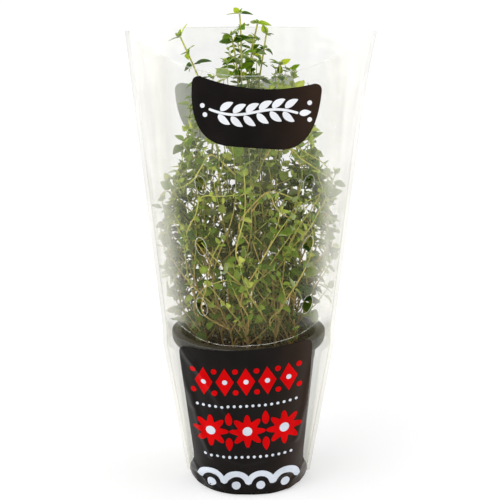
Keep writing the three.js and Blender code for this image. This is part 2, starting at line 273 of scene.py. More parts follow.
def pot_material():
    """Black plastic, with dust where it faces up."""
    paint = Paint("black_plastic", {"IOR": 1.48, "Specular IOR Level": 0.5})
    plastic = paint.ramp(paint.noise(90, 5), (0.3, (0.012,) * 3), (0.75, (0.024, 0.023, 0.021)))
    level = paint.axis(paint.node("ShaderNodeNewGeometry").outputs["Normal"], "Z")
    patches = paint.spread(paint.noise(260, 6), -0.1, 0.7)
    dust = paint.math("MULTIPLY", paint.math("MAXIMUM", level, 0.0), patches)
    colour = paint.mix(dust, plastic, (0.09, 0.07, 0.05, 1))
    return paint.finish(colour, 40, 0.3, 0.5, [700, 2], 0.05)


def grainy(name, dark, light, grain, bump):
    paint = Paint(name, {"Specular IOR Level": 0.25})
    colour = paint.ramp(paint.noise(grain, 6), (0.3, dark), (0.7, light))
    return paint.finish(colour, grain, 0.8, 1.0, [grain * 2, 6], bump)


GLOW = {"Subsurface Weight": 0.5, "Subsurface Radius": (0.8, 1.0, 0.2), "Subsurface Scale": 0.0015}
LEAF = tinted("thyme_leaf", {**GLOW, "Specular IOR Level": 0.12}, 0.14, 380, 0.12)
STEM = tinted("thyme_stem", {"Specular IOR Level": 0.3}, 0.22, 500, 0.15)
FILM = film_material("clear_film", 0.085, 0.16, 0.4)
FILM_BACK = film_material("clear_film_back", 0.22, 0.16)
FILM_EDGE = film_material("clear_film_edge", 0.42, 0.25)
FILM_WELD = film_material("clear_film_weld", 0.3, 0.2)
BLACK = (0.004, 0.0028, 0.002), (0.007, 0.0048, 0.004)
BLACK_INK = ink_material("black_ink", *BLACK, 0.24, brown=(0.03, 0.014, 0.006))
INK_BACK = ink_material("ink_through_film", (0.84, 0.87, 0.93), (0.93, 0.97, 1.0), 0.5)
WHITE_INK = ink_material("white_ink", (0.78, 0.8, 0.83), (0.88, 0.9, 0.93), 0.4)
THIN_WHITE_INK = ink_material("thin_white_ink", (0.56, 0.61, 0.68), (0.7, 0.75, 0.82), 0.36)
RED_INK = ink_material("red_ink", (0.54, 0.001, 0.002), (0.66, 0.002, 0.003), 0.38, gloss=0.04)
PLASTIC = pot_material()
PEAT = grainy("peat", (0.012, 0.008, 0.005), (0.075, 0.046, 0.027), 350, 0.5)
BARK = grainy("bark_chips", (0.05, 0.028, 0.015), (0.2, 0.12, 0.066), 500, 0.3)
PERLITE = grainy("perlite", (0.62, 0.6, 0.56), (0.85, 0.84, 0.81), 700, 0.2)


# ---- Sleeve surface ----
def along_sleeve(sizes, z):
    """A half width or depth of the sleeve at height z, from its sizes at the foot, rim and mouth."""
    foot, rim, mouth = sizes
    above = clamp((z - RIM_TOP) / (SLEEVE_TOP - RIM_TOP))
    return lerp(foot, rim, clamp(z / (NECK_Z - 1))) + (mouth - rim) * above


def bulge(x, z):
    share = min(1.0, abs(x) / along_sleeve(HALF_WIDTH, z))
    return along_sleeve(HALF_DEPTH, z) * (1 - share**ROUNDNESS) ** FULLNESS


def top_edge(x, side):
    """Height of a panel's top edge. side is -1 in front and 1 at the back."""
    if side > 0:
        return SLEEVE_TOP
    share = min(1.0, abs(x) / HALF_WIDTH[2])
    return SLEEVE_TOP - FRONT_DIP * (1 - share**DIP_POWER)


def wall_radius(z):
    """The pot's outer radius below its rim."""
    return lerp(POT_FOOT, POT_NECK, clamp((z - POT_BASE) / (NECK_Z - POT_BASE)))


def pot_radius(z):
    if z < NECK_Z:
        return wall_radius(z)
    return POT_RIM if z < RIM_TOP else 0


# Folds in the film, as lines of (x, z) points with a half width and a height.
FRONT_FOLDS = [
    ([(-45, 101), (-29, 84), (-13.5, 60), (-6, 46)], 2.2, 1.6),
    ([(-38, 70), (-35, 57), (-32, 43), (-25, 27)], 2.0, 1.5),
    ([(-45, 92), (-44, 81), (-38, 61)], 1.8, 1.1),
    ([(43, 92), (40, 78), (38, 61), (32, 38)], 2.0, 1.5),
    ([(-20, 30), (-4, 24), (10, 27)], 1.8, 0.8),
    ([(-65, 288), (-64, 262), (-61, 236)], 1.6, 0.9),
    ([(52, 300), (47, 268), (45, 240)], 2.4, 0.7),
    ([(-40, 8), (-26, 16), (-10, 12)], 1.8, 1.3),
    ([(-39, 17), (-33, 10), (-26, 3)], 1.3, 1.1),
    ([(39, 16), (33, 9), (27, 3)], 1.3, 1.1),
    ([(41, 7), (28, 15), (14, 10)], 1.8, 1.3),
    ([(-60, 150), (-55, 118), (-45, 104)], 2.0, 0.8),
    ([(60, 148), (55, 120), (46, 105)], 2.0, 0.8),
]
# Sharp creases in the front panel, as lines of (x, z) points.
CREASES = [
    [(-53, 121), (-42, 115), (-31, 110.6), (-20, 109), (-4, 108.7)]
    + [(12, 110), (26, 112.2), (36, 114.6), (48, 120)],
    [(-68, 283), (-67.5, 270), (-66, 252)],
    [(59, 296), (57, 270), (55, 246), (54, 226)],
]
CREASE_HALF, CREASE_HEIGHT = 0.24, 0.4
BACK_FOLDS = [
    ([(38, 100), (22, 74), (8, 58)], 2.2, 1.0),
    ([(-42, 96), (-36, 60), (-24, 30)], 2.0, 1.0),
    ([(30, 14), (8, 9), (-18, 16)], 1.8, 1.0),
    ([(-62, 285), (-58, 246), (-56, 220)], 2.0, 0.8),
    ([(55, 160), (50, 124), (40, 106)], 2.2, 0.8),
]


def distance_to_line(x, z, points):
    nearest = 1e9
    for (ax, az), (bx, bz) in zip(points, points[1:]):
        dx, dz = bx - ax, bz - az
        share = clamp(((x - ax) * dx + (z - az) * dz) / (dx * dx + dz * dz))
        nearest = min(nearest, hypot(x - ax - share * dx, z - az - share * dz))
    return nearest


def relief(x, z, side):
    """How far the film stands off its smooth shape: slow waves, folds, and crumples at the foot."""
    seed = 40 * side
    out = 0.9 * waves(x / 21, seed, z / 75)
    out += 0.35 * waves(x / 9, seed + 7, z / 22)
    for points, half_width, height in FRONT_FOLDS if side < 0 else BACK_FOLDS:
        away = distance_to_line(x, z, points) / half_width
        if away < 3:
            out += height * exp(-away * away)
    if side < 0:
        away = min(distance_to_line(x, z, points) for points in CREASES)
        out += CREASE_HEIGHT * clamp(1 - away / CREASE_HALF)
    foot, corner = clamp(1 - z / 20), clamp((abs(x) - 16) / 14)
    out += foot * (0.6 + 1.6 * corner) * waves(x / 6, seed + 3, z / 5)
    ridge = 1 - 2 * abs(waves((x + 0.8 * z) / 7, seed + 11, (z - 0.5 * abs(x)) / 4))
    return out + foot * corner * 1.3 * ridge * ridge


def flared(x, z):
    """x, moved outwards near the mouth on the right, where the sleeve is a little wider."""
    return x * (1 + FLARE * clamp((z - FLARE_START) / (SLEEVE_TOP - FLARE_START)) ** 2) if x > 0 else x


def film_point(x, z, side, offset=0.0):
    """The point of a panel above (x, z), offset mm outwards."""
    share = min(1.0, abs(x) / along_sleeve(HALF_WIDTH, z))
    smooth = bulge(x, z)
    out = smooth + relief(x, z, side) * clamp(smooth / 8)
    radius = pot_radius(z)
    if abs(x) < radius:
        out = max(out, sqrt(radius * radius - x * x) + GAP)
    slope = min(share * share * share, 0.85)
    lift = copysign(offset * slope, x)
    return Vector((flared(x, z) + lift, side * (HALF_GAP + out + offset * (1 - 0.6 * slope)), z))


# ---- Flat patterns, mapped onto the film ----
def within(p, loop):
    """Whether a point is inside a loop."""
    found = False
    for k, (ax, ay) in enumerate(loop):
        bx, by = loop[k - 1]
        if (ay > p[1]) != (by > p[1]) and p[0] < (bx - ax) * (p[1] - ay) / (by - ay) + ax:
            found = not found
    return found


def middle_of(spots, face):
    return sum((spots[v] for v in face), Vector((0, 0))) / len(face)


def fill(outline, holes, spacing, loops=(), lines=()):
    """Triangles inside an outline and outside its holes, with points spacing apart, and with edges along
    the loops and lines. Gives 2-D points and faces."""
    points, edges = [], []
    for path in (outline, *holes, *loops, *lines):
        first, last = len(points), len(points) + len(path) - 1
        points.extend(Vector(p) for p in path)
        edges.extend((k, k + 1) for k in range(first, last))
        if not any(path is line for line in lines):
            edges.append((last, first))
    left, low = (min(axis) for axis in zip(*outline))
    right, high = (max(axis) for axis in zip(*outline))
    columns, rows = (max(1, round(size / spacing)) for size in (right - left, high - low))
    near = {}
    for p in points:
        near.setdefault((floor(p[0] / spacing), floor(p[1] / spacing)), []).append(p)
    for i in range(columns + 1):
        for j in range(rows + 1):
            x = lerp(left, right, i / columns)
            y = lerp(low, high, (j + 0.5 * (i % 2)) / rows)
            a, b = floor(x / spacing), floor(y / spacing)
            cells = [(c, d) for c in (a - 1, a, a + 1) for d in (b - 1, b, b + 1)]
            if all(hypot(x - q[0], y - q[1]) > 0.55 * spacing for cell in cells for q in near.get(cell, ())):
                points.append(Vector((x, y)))
    made = delaunay_2d_cdt(points, edges, [], 0, 1e-6)
    spots, kept = made[0], []
    for face in made[2]:
        middle = middle_of(spots, face)
        if within(middle, outline) and not any(within(middle, hole) for hole in holes):
            kept.append(face)
    return spots, kept


def ellipse(cx, cy, rx, ry, tilt, sides):
    loop = []
    for k in range(sides):
        a = 2 * pi * k / sides
        x, y = rx * cos(a), ry * sin(a)
        loop.append((cx + x * cos(tilt) + y * sin(tilt), cy - x * sin(tilt) + y * cos(tilt)))
    return loop


def line(start, end, step):
    count = max(2, round(dist(start, end) / step))
    return [between(start, end, k / count) for k in range(count + 1)]


def arc(cx, cy, radius, start, end):
    count = max(6, round(abs(end - start) * radius))
    angles = [lerp(start, end, k / count) for k in range(count + 1)]
    return [(cx + radius * cos(a), cy + radius * sin(a)) for a in angles]


def bezier(points, steps):
    """A quadratic curve with three control points, without its last point."""
    (ax, ay), (bx, by), (cx, cy) = points
    made = []
    for k in range(steps):
        t = k / steps
        a, b, c = (1 - t) ** 2, 2 * t * (1 - t), t * t
        made.append((a * ax + b * bx + c * cx, a * ay + b * by + c * cy))
    return made


def spread_x(flat, z):
    """X of a point of the flat pattern, whose first coordinate runs evenly along the film and not along
    X, because the film turns towards the welds."""
    share = clamp(flat / SLEEVE_FLAT, -1, 1)
    return copysign(1 - (1 - abs(share)) ** 1.5, share) * along_sleeve(HALF_WIDTH, z)


def flat_x(x, z):
    share = min(1.0, abs(x) / along_sleeve(HALF_WIDTH, z))
    return copysign((1 - (1 - share) ** (1 / 1.5)) * SLEEVE_FLAT, x)


SLEEVE_FLAT = 85.0
WELD_STEPS, WELD_ROWS = 3, 150
FILM_SPACING, INK_SPACING = 1.5, 1.3
EDGE_STRIP, VENT_STRIP = 0.7, 0.42
CLEAR, CLEAR_TOP = 0.2, 0.32  # the film's haze in its middle, and above the leaves in front
# The film's haze from here on holds a painted sheen: it whitens from this share of its width towards the
# welds, where the film turns.
HAZE_SHEEN_START = 0.38  # the share of its width where that grows
LOW_HAZE_SHEEN, CLING = 0.7, 0.1  # shares of its haze that it has beside the pot, and where it lies on it
MOST_HAZE_SHEEN, SIDE_HAZE_SHEEN = 0.62, 0.76  # its most beside the leaves, and the share of that left at the welds
LEAVES_TOP = 235  # above it the film is seen over white, and not over the leaves


def vents(grow):
    """The air holes' outlines on the flat pattern, grown by some mm."""
    loops = []
    for x, z, side in VENTS:
        loop = ellipse(x, z, VENT_HALF_WIDTH + grow, VENT_HALF_HEIGHT + grow, side * VENT_TILT, 28)
        loops.append([(flat_x(px, pz), pz) for px, pz in loop])
    return loops


def smooth_line(points, steps):
    """A smooth curve through the points."""
    ends = [points[0] * 2 - points[1], *points, points[-1] * 2 - points[-2]]
    made = []
    for a, b, c, d in zip(ends, ends[1:], ends[2:], ends[3:]):
        for k in range(steps):
            t = k / steps
            curve = 2 * b + (c - a) * t + (2 * a - 5 * b + 4 * c - d) * t**2 + (3 * b - a - 3 * c + d) * t**3
            made.append(curve / 2)
    return [*made, points[-1]]


def sideways(points):
    """Each point of a line, with the direction square to the line there."""
    for k, (x, y) in enumerate(points):
        before, after = points[max(0, k - 1)], points[min(len(points) - 1, k + 1)]
        run = dist(before, after) or 1
        yield x, y, -(after[1] - before[1]) / run, (after[0] - before[0]) / run


def crease_lines(path):
    """A crease's ridge and its two sides, as lines on the flat pattern."""
    path = [p[:2] for p in smooth_line([Vector((x, z, 0)) for x, z in path], 5)]
    lines = []
    for off in (-CREASE_HALF, 0, CREASE_HALF):
        beside = [(x + nx * off, z + nz * off) for x, z, nx, nz in sideways(path)]
        lines.append([(flat_x(x, z), z) for x, z in beside])
    return lines


def beside_leaves(z):
    return clamp((LEAVES_TOP - z) / 35)


def film_haze_and_sheen(share, point, side):
    """How hazy the film is, from its share of the width from the middle to a weld, with a painted
    sheen that whitens it towards the welds.
    """
    beside = 1 if side > 0 else beside_leaves(point.z)
    clear = lerp(CLEAR_TOP, CLEAR, beside)
    haze_and_sheen = lerp(clear, 1, clamp((abs(share) - HAZE_SHEEN_START) / (1 - HAZE_SHEEN_START)))
    haze_and_sheen = min(haze_and_sheen, lerp(1, MOST_HAZE_SHEEN, beside))
    haze_and_sheen *= lerp(1, SIDE_HAZE_SHEEN, beside * clamp((abs(share) - 0.82) / 0.1))
    low = clamp((RIM_TOP + 14 - point.z) / 8)
    against = low * clamp((pot_radius(min(point.z, RIM_TOP - 1)) + 4 - abs(point.x)) / 3)
    return haze_and_sheen * lerp(lerp(1, LOW_HAZE_SHEEN, low), CLING, against)


def make_panel(side, name, clear):
    """One film panel: six air holes, a strip along each cut edge, and a flat weld down each side."""
    reach, steps = SLEEVE_FLAT, 110

    def top(k, drop):
        flat = lerp(-reach, reach, k / steps)
        return flat, top_edge(spread_x(flat, SLEEVE_TOP), side) - drop

    outline = [(lerp(-reach, reach, k / steps), SLEEVE_BOTTOM) for k in range(steps)]
    outline += [(reach, lerp(SLEEVE_BOTTOM, SLEEVE_TOP, k / WELD_ROWS)) for k in range(WELD_ROWS)]
    outline += [top(steps - k, 0) for k in range(steps)]
    outline += [(-reach, lerp(SLEEVE_TOP, SLEEVE_BOTTOM, k / WELD_ROWS)) for k in range(WELD_ROWS)]
    strip = [top(k, EDGE_STRIP) for k in range(1, steps)]
    loops = vents(VENT_STRIP)
    creases = [line for path in CREASES for line in crease_lines(path)] if side < 0 else []
    spots, faces = fill(outline, vents(0), FILM_SPACING, loops, [strip, *creases])

    surface = [film_point(spread_x(*p), p[1], side) for p in spots]
    # The haze and painted sheen at each point of the panel.
    haze_and_sheen = [film_haze_and_sheen(p[0] / reach, v, side) for p, v in zip(spots, surface)]
    plain, edge = [], []
    for face in faces:
        flat, z = middle_of(spots, face)
        x = spread_x(flat, z)
        creased = side < 0 and min(distance_to_line(x, z, path) for path in CREASES) < CREASE_HALF
        face = face if side < 0 else face[::-1]
        # The rims of the air holes, the top edge and the creases are a more opaque film, made whiter as a
        # painted highlight.
        if any(within((flat, z), loop) for loop in loops):
            edge.append((face, [(0.9,) * 3] * len(face)))
        elif creased or z > top_edge(x, side) - EDGE_STRIP:
            edge.append((face, [(0.5 + 0.9 * abs(noise.noise(surface[v] / 7)),) * 3 for v in face]))
        else:
            plain.append((face, [(haze_and_sheen[v],) * 3 for v in face]))
    faces, tints = zip(*plain, *edge)
    film = Build()
    film.add(surface, faces, [0] * len(plain) + [1] * len(edge), tints)
    for sign in (-1, 1):
        add_weld(film, side, sign)
    return film.piece(name, [clear, FILM_EDGE, FILM_WELD])


def add_weld(film, side, sign):
    """The flat strip outside the sleeve's side, crimped a little, and clearer along its outer edge."""
    width = WELD_STEPS + 1
    vertices, faces = [], []
    for j in range(WELD_ROWS + 1):
        z = lerp(SLEEVE_BOTTOM, SLEEVE_TOP, j / WELD_ROWS)
        for k in range(width):
            x = along_sleeve(HALF_WIDTH, z) + WELD * k / WELD_STEPS
            crimp = 0.05 * sin(z * 2.6) if 0 < k < WELD_STEPS else 0
            vertices.append(Vector((flared(sign * x, z), side * (HALF_GAP + crimp), z)))
            if k and j:
                a = (j - 1) * width + k - 1
                face = [a, a + 1, a + width + 1, a + width]
                faces.append(face if side * sign < 0 else face[::-1])

    # The weld's haze and painted sheen: whiter above the leaves than beside them, and clearer along its outer
    # edge.
    def haze_and_sheen(v):
        return 0.42 if v % width == WELD_STEPS else lerp(1, 0.5, beside_leaves(vertices[v].z))

    film.add(vertices, faces, 2, [[(haze_and_sheen(v),) * 3 for v in face] for face in faces])


# ---- Printed ornaments ----
def ribbon(points, half_width, taper=None):
    """A painted stroke with round ends along a line. taper gives its share of the width at a share of its
    length."""
    lengths = [0.0]
    for a, b in zip(points, points[1:]):
        lengths.append(lengths[-1] + dist(a, b))
    total = lengths[-1]
    vertices, faces = [], []
    for k, (x, y, nx, ny) in enumerate(sideways(points)):
        if taper:
            half = half_width * taper(lengths[k] / total)
        else:
            end = min(lengths[k], total - lengths[k], half_width)
            half = sqrt(max(0.0, half_width**2 - (half_width - end) ** 2))
        half = max(half, 0.05)
        vertices += [(x + nx * half * step, y + ny * half * step) for step in (-1, -0.5, 0, 0.5, 1)]
        if k:
            first = 5 * (k - 1)
            faces += [[first + s, first + s + 1, first + s + 6, first + s + 5] for s in range(4)]
    return vertices, faces


def flower(cx, cy, outline, rings, sides):
    """A filled round shape. outline gives its radius at an angle."""
    vertices, faces = [(cx, cy)], []
    for ring in range(1, rings + 1):
        for k in range(sides):
            a = 2 * pi * k / sides
            r = outline(a) * ring / rings
            vertices.append((cx + r * cos(a), cy + r * sin(a)))
    for k in range(sides):
        after = (k + 1) % sides
        faces.append([0, 1 + k, 1 + after])
        for ring in range(rings - 1):
            a, b = 1 + ring * sides, 1 + (ring + 1) * sides
            faces.append([a + k, b + k, b + after, a + after])
    return vertices, faces


def disc(cx, cy, radius, rings=3, sides=24):
    return flower(cx, cy, lambda a: radius, rings, sides)


def petal(cx, cy, angle, length, half_width, bend=0.0):
    """A leaf-shaped stroke from a point, in a direction, curving to one side."""
    points = []
    for k in range(15):
        t = k / 14
        points.append((cx + length * t * cos(angle + bend * t), cy + length * t * sin(angle + bend * t)))
    return ribbon(points, half_width, lambda t: sin(pi * min(1, t**0.8)) ** 0.75)


def on_film(build, shape, side, layer, ink, place, under=None):
    """A flat shape as a thin closed layer on a panel. layer holds how far its faces are off the film."""
    flat, faces = shape
    spots = [place(x, y) for x, y in flat]
    count = len(spots)
    area = 0.0
    for face in faces[:40]:
        (ax, ay), (bx, by), (cx, cy) = (spots[face[k]] for k in (0, 1, -1))
        area += (bx - ax) * (cy - ay) - (cx - ax) * (by - ay)
    step = -1 if (area > 0) == (side > 0) else 1
    faces = [list(face)[::step] for face in faces]
    vertices = [film_point(x, z, side, out) for out in layer for x, z in spots]
    edges = {(a, b) for face in faces for a, b in zip(face, [*face[1:], face[0]])}
    walls = [[b, a, a + count, b + count] for a, b in sorted(edges) if (b, a) not in edges]
    below = [[count + v for v in face[::-1]] for face in faces]
    inks = [ink] * len(faces + walls) + [ink if under is None else under] * len(below)
    build.add(vertices, faces + walls + below, inks)


def garland():
    """A wavy sprig with pairs of leaves, and a dot off each end."""

    def middle(x):
        return 2.6 * sin(x / 30 * pi)

    shapes = [ribbon([(x / 2, middle(x / 2)) for x in range(-58, 55)], 0.8)]
    for x in (-22, -14, -6, 2, 10, 18):
        for side in (-1, 1):
            shapes.append(petal(x + 0.55 * side, middle(x) + 1.1 * side, side * 0.95, 9.5, 2.15, -0.3 * side))
    shapes.append(petal(27.6, middle(27.6), 0.15, 7.5, 2.0))
    return shapes + [disc(x, y, 1.5) for x, y in ((-33, 1.5), (-31, -4), (33.5, 7.5), (34.5, -3))]


UPPER_Z, UPPER_TILT = 258, 0.07
# How far the two faces of each layer of ink are off the film.
BLACK_LAYER, RED_LAYER = (0.28, 0.16), (0.46, 0.26)
WHITE_LAYER, GARLAND_LAYER = (0.58, 0.34), (0.4, 0.24)


def upper_outline():
    half, top, sag, bottom, corner = 40.5, 21, 5, 21, 5
    left, right = -half * 0.35, half * 0.4
    loop = bezier([(-half, top - corner), (-half, -bottom), (left, -bottom)], 26)
    loop += [(lerp(left, right, k / 20), -bottom) for k in range(20)]
    loop += bezier([(right, -bottom), (half, -bottom), (half, top - corner)], 26)
    loop += bezier([(half, top - corner), (half, top), (half - corner, top)], 6)
    loop += bezier([(half - corner, top), (0, top - 2 * sag), (corner - half, top)], 44)
    loop += bezier([(corner - half, top), (-half, top), (-half, top - corner)], 6)
    return loop


def make_upper_print(side, centre_x, drop, name):
    """A black bowl-shaped panel with a white garland."""

    def place(x, y):
        """The back panel is read from behind, so it is the other way round."""
        across, up = cos(UPPER_TILT), sin(UPPER_TILT)
        return centre_x - side * (x * across + y * up), UPPER_Z - drop - x * up + y * across

    build = Build()
    on_film(build, fill(upper_outline(), [], INK_SPACING), side, BLACK_LAYER, 0, place, 2)
    for shape in garland():
        on_film(build, shape, side, GARLAND_LAYER, 1, lambda x, y: place(x, y + 1.5))
    return build.piece(name, [BLACK_INK, WHITE_INK, INK_BACK], 50)


LOWER_LEAN = 2  # how far the panel's top lies to the left of its foot


def lower_outline():
    half_top, half_bottom, half_foot = 44.2, 37, 41
    right, left, foot_z, bottom, corner = 109, 103, 10, 1.2, 6
    corners = [
        ([(half_foot, bottom), (half_foot, foot_z), (half_bottom, 2 * foot_z)], 10),
        ([(half_top, right - corner), (half_top, right), (half_top - corner, right)], 6),
        ([(corner - half_top, left), (-half_top, left), (-half_top, left - corner)], 6),
        ([(-half_bottom, 2 * foot_z), (-half_foot, foot_z), (-half_foot, bottom)], 10),
    ]
    loop = [(lerp(-half_foot, half_foot, k / 40), bottom) for k in range(40)]
    for k, (points, steps) in enumerate(corners):
        loop += bezier(points, steps)
        if k < 3:
            loop += line(points[-1], corners[k + 1][0][0], 2)[:-1]
    return loop


def red_shapes():
    """A row of lozenges with dots between them, and a row of rosettes with leaves between them."""
    shapes = []
    for x in (-28, -14, 0, 14, 28):
        shapes.append(flower(x, 84, lambda a: 6.0 / (abs(cos(a)) + 0.6 * abs(sin(a))), 9, 64))
    for x in (-35, -21, -7, 7, 21, 35):
        shapes += [disc(x, y, 1.9) for y in (76.5, 91.5)]
    for x in (-24.5, 0, 24.5):
        shapes.append(flower(x, 48, lambda a: 9.5 + 2.6 * cos(8 * a), 12, 96))
    for x in (-12.25, 12.25):
        shapes += [petal(x, 48 + 4.5 * side, side * pi / 2, 10, 2.4) for side in (-1, 1)]
    return shapes


def white_shapes():
    """Rows of dots, the middles of the rosettes, and scallops round the foot."""
    shapes = [disc(x * 4.1, 66.5, 1.0, 2, 16) for x in range(-8, 9)]
    shapes += [disc(x * 4.1, 29, 1.0, 2, 16) for x in range(-7, 8)]
    shapes += [disc(x, 48, 3.2) for x in (-24.5, 0, 24.5)]
    shapes += [disc(x, 84, 1.7) for x in (-28, -14, 0, 14, 28)]
    for x in (-24.75, -8.25, 8.25, 24.75):
        shapes += [ribbon(arc(x, 8, 8.25, pi, 0), 2.1), disc(x, 7.5, 3.0)]
    return shapes


def make_lower_print():
    """A black panel with rows of red and white ornaments."""

    def lean(x, y):
        return x - LOWER_LEAN * clamp((y - 20) / 80), y

    def place(x, y):
        return lean(x, y + 0.07 * x * clamp(y / 60))

    build = Build()
    on_film(build, fill(lower_outline(), [], INK_SPACING), -1, BLACK_LAYER, 0, lean)
    for shape in red_shapes():
        on_film(build, shape, -1, RED_LAYER, 2, place)
    for shape in white_shapes():
        on_film(build, shape, -1, WHITE_LAYER, 1, place)
    return build.piece("lower_front_print", [BLACK_INK, THIN_WHITE_INK, RED_INK], 50)


def make_bottom_film():
    """The film under the pot, lying on the floor, with shallow creases."""
    outline = []
    for side in (-1, 1):
        for k in range(60):
            x = spread_x(lerp(-SLEEVE_FLAT, SLEEVE_FLAT, k / 60) * -side, SLEEVE_BOTTOM)
            outline.append((x, side * bulge(x, SLEEVE_BOTTOM)))
    spots, faces = fill(outline, [], 2.5)
    build = Build()
    build.add([Vector((x, y, 0.25 + 0.2 * waves(x / 9, y / 9, 5))) for x, y in spots], faces)
    return build.piece("sleeve_bottom_film", [BLACK_INK])


# ---- Pot and soil ----
def lathe(build, profile, sides):
    """Turns (radius, z) points about Z. Points at radius 0 become one vertex."""
    vertices, rings, faces = [], [], []
    for radius, z in profile:
        if radius < 1e-6:
            rings.append([len(vertices)] * sides)
            vertices.append(Vector((0, 0, z)))
            continue
        rings.append(list(range(len(vertices), len(vertices) + sides)))
        for k in range(sides):
            a = 2 * pi * k / sides
            vertices.append(Vector((radius * cos(a), radius * sin(a), z)))
    for lower, upper in zip(rings, rings[1:]):
        for k in range(sides):
            after = (k + 1) % sides
            faces.append(list(dict.fromkeys([lower[k], lower[after], upper[after], upper[k]])))
    build.add(vertices, faces)


def rounded(profile, steps=5):
    """A lathe profile of (radius, z, size) with each corner cut by a curve of about its size."""
    made = [profile[0][:2]]
    for before, (*corner, size), after in zip(profile, profile[1:], profile[2:]):
        to_before, to_after = dist(before[:2], corner), dist(corner, after[:2])
        cut = min(size, 0.45 * to_before, 0.45 * to_after)
        if cut < 0.05:
            made.append(tuple(corner))
            continue
        away = between(corner, after, cut / to_after)
        made += [*bezier([between(corner, before, cut / to_before), corner, away], steps), away]
    return made + [profile[-1][:2]]


def rim_curl(inset, steps=9):
    """The rim's lower part, a quarter of an ellipse, from its widest point down to its edge near the wall."""
    points = []
    for k in range(steps + 1):
        a = pi / 2 * k / steps
        radius = POT_RIM - CURL_IN + (CURL_IN - inset) * cos(a)
        points.append((radius, NECK_Z + CURL_HEIGHT - (CURL_HEIGHT - inset) * sin(a), 0))
    return points


def make_pot():
    """The black plastic pot: a foot ring, a stepped wall, a rim that curls down and in, a drilled floor."""
    sides, step = 120, 0.35
    foot_inner = POT_FOOT - FOOT_RING
    under = POT_BASE + FOOT_HEIGHT
    profile = [
        (foot_inner, under, 0),
        (foot_inner + 1, POT_BASE, 0.6),
        (POT_FOOT - 0.8, POT_BASE, 0.8),
        (wall_radius(1.8), 1.8, 0.8),
        (wall_radius(14), 14, 0.3),
        (wall_radius(14) - step, 14.4, 0.3),
        (wall_radius(86) - step, 86, 0.3),
        (wall_radius(86), 86.4, 0.3),
        (POT_NECK, NECK_Z, 0.5),
        (POT_NECK, RIM_TOP - RIM_LIP, 0.8),
        (POT_RIM - WALL, RIM_TOP - RIM_LIP, 1.2),
        *rim_curl(WALL),
        *rim_curl(0)[::-1],
        (POT_RIM, RIM_TOP, 3.2),
        (POT_NECK - 0.4, RIM_TOP - 0.2, 1.6),
        (POT_NECK - WALL, RIM_TOP - 3, 0.8),
        (POT_NECK - WALL, NECK_Z, 0.5),
        (wall_radius(70) - WALL, 70, 0.3),
        (wall_radius(FLOOR_TOP) - WALL, FLOOR_TOP, 1.0),
        (foot_inner - 1, FLOOR_TOP, 0),
    ]
    pot = Build()
    lathe(pot, rounded(profile), sides)
    drains = []
    for x, y in ellipse(0, 0, DRAIN_CIRCLE, DRAIN_CIRCLE, 0, DRAIN_HOLES):
        drains.append(ellipse(x, y, DRAIN_RADIUS, DRAIN_RADIUS, 0, 20))
    for radius, z, turn in ((foot_inner, under, -1), (foot_inner - 1, FLOOR_TOP, 1)):
        spots, faces = fill(ellipse(0, 0, radius, radius, 0, sides), drains, 4)
        pot.add([Vector((x, y, z)) for x, y in spots], [f[::turn] for f in faces])
    for loop in drains:
        count = len(loop)
        vertices = [Vector((x, y, z)) for z in (under, FLOOR_TOP) for x, y in loop]
        faces = [[k, k + count, (k + 1) % count + count, (k + 1) % count] for k in range(count)]
        pot.add(vertices, faces)
    item = pot.piece("pot", [PLASTIC])
    merge(item)
    item.data.set_sharp_from_angle(angle=radians(40))


def merge(item):
    """Joins vertices that lie on each other."""
    mesh = bmesh.new()
    mesh.from_mesh(item.data)
    bmesh.ops.remove_doubles(mesh, verts=mesh.verts, dist=0.01 * MM)
    bmesh.ops.recalc_face_normals(mesh, faces=mesh.faces)
    mesh.to_mesh(item.data)
    mesh.free()


def soil_top(radius):
    return SOIL_EDGE_Z + SOIL_DOME * (1 - (radius / SOIL_EDGE_RADIUS) ** 2)


def chip(build, rng, centre, size, material):
    """A rough grain: a low ball, squashed and pushed about."""
    rings, sides = 4, 7
    stretch = Vector((rng.uniform(0.7, 1.3), rng.uniform(0.5, 1.0), rng.uniform(0.35, 0.8))) * size
    turn = rng.uniform(0, 2 * pi)
    tip = rng.uniform(-0.5, 0.5)
    vertices = [Vector((0, 0, -1)), Vector((0, 0, 1))]
    for j in range(1, rings):
        for k in range(sides):
            polar, a = pi * j / rings, 2 * pi * k / sides
            rough = rng.uniform(0.75, 1.15)
            vertices.append(Vector((sin(polar) * cos(a), sin(polar) * sin(a), -cos(polar))) * rough)
    faces = []
    last = 2 + (rings - 2) * sides
    for k in range(sides):
        after = (k + 1) % sides
        faces += [[0, 2 + after, 2 + k], [1, last + k, last + after]]
        for a in range(2, last, sides):
            faces.append([a + k, a + after, a + sides + after, a + sides + k])
    placed = []
    for v in vertices:
        x, y, z = v.x * stretch.x, v.y * stretch.y, v.z * stretch.z
        x, z = x * cos(tip) - z * sin(tip), x * sin(tip) + z * cos(tip)
        x, y = x * cos(turn) - y * sin(turn), x * sin(turn) + y * cos(turn)
        placed.append(centre + Vector((x, y, z)))
    build.add(placed, faces, material)


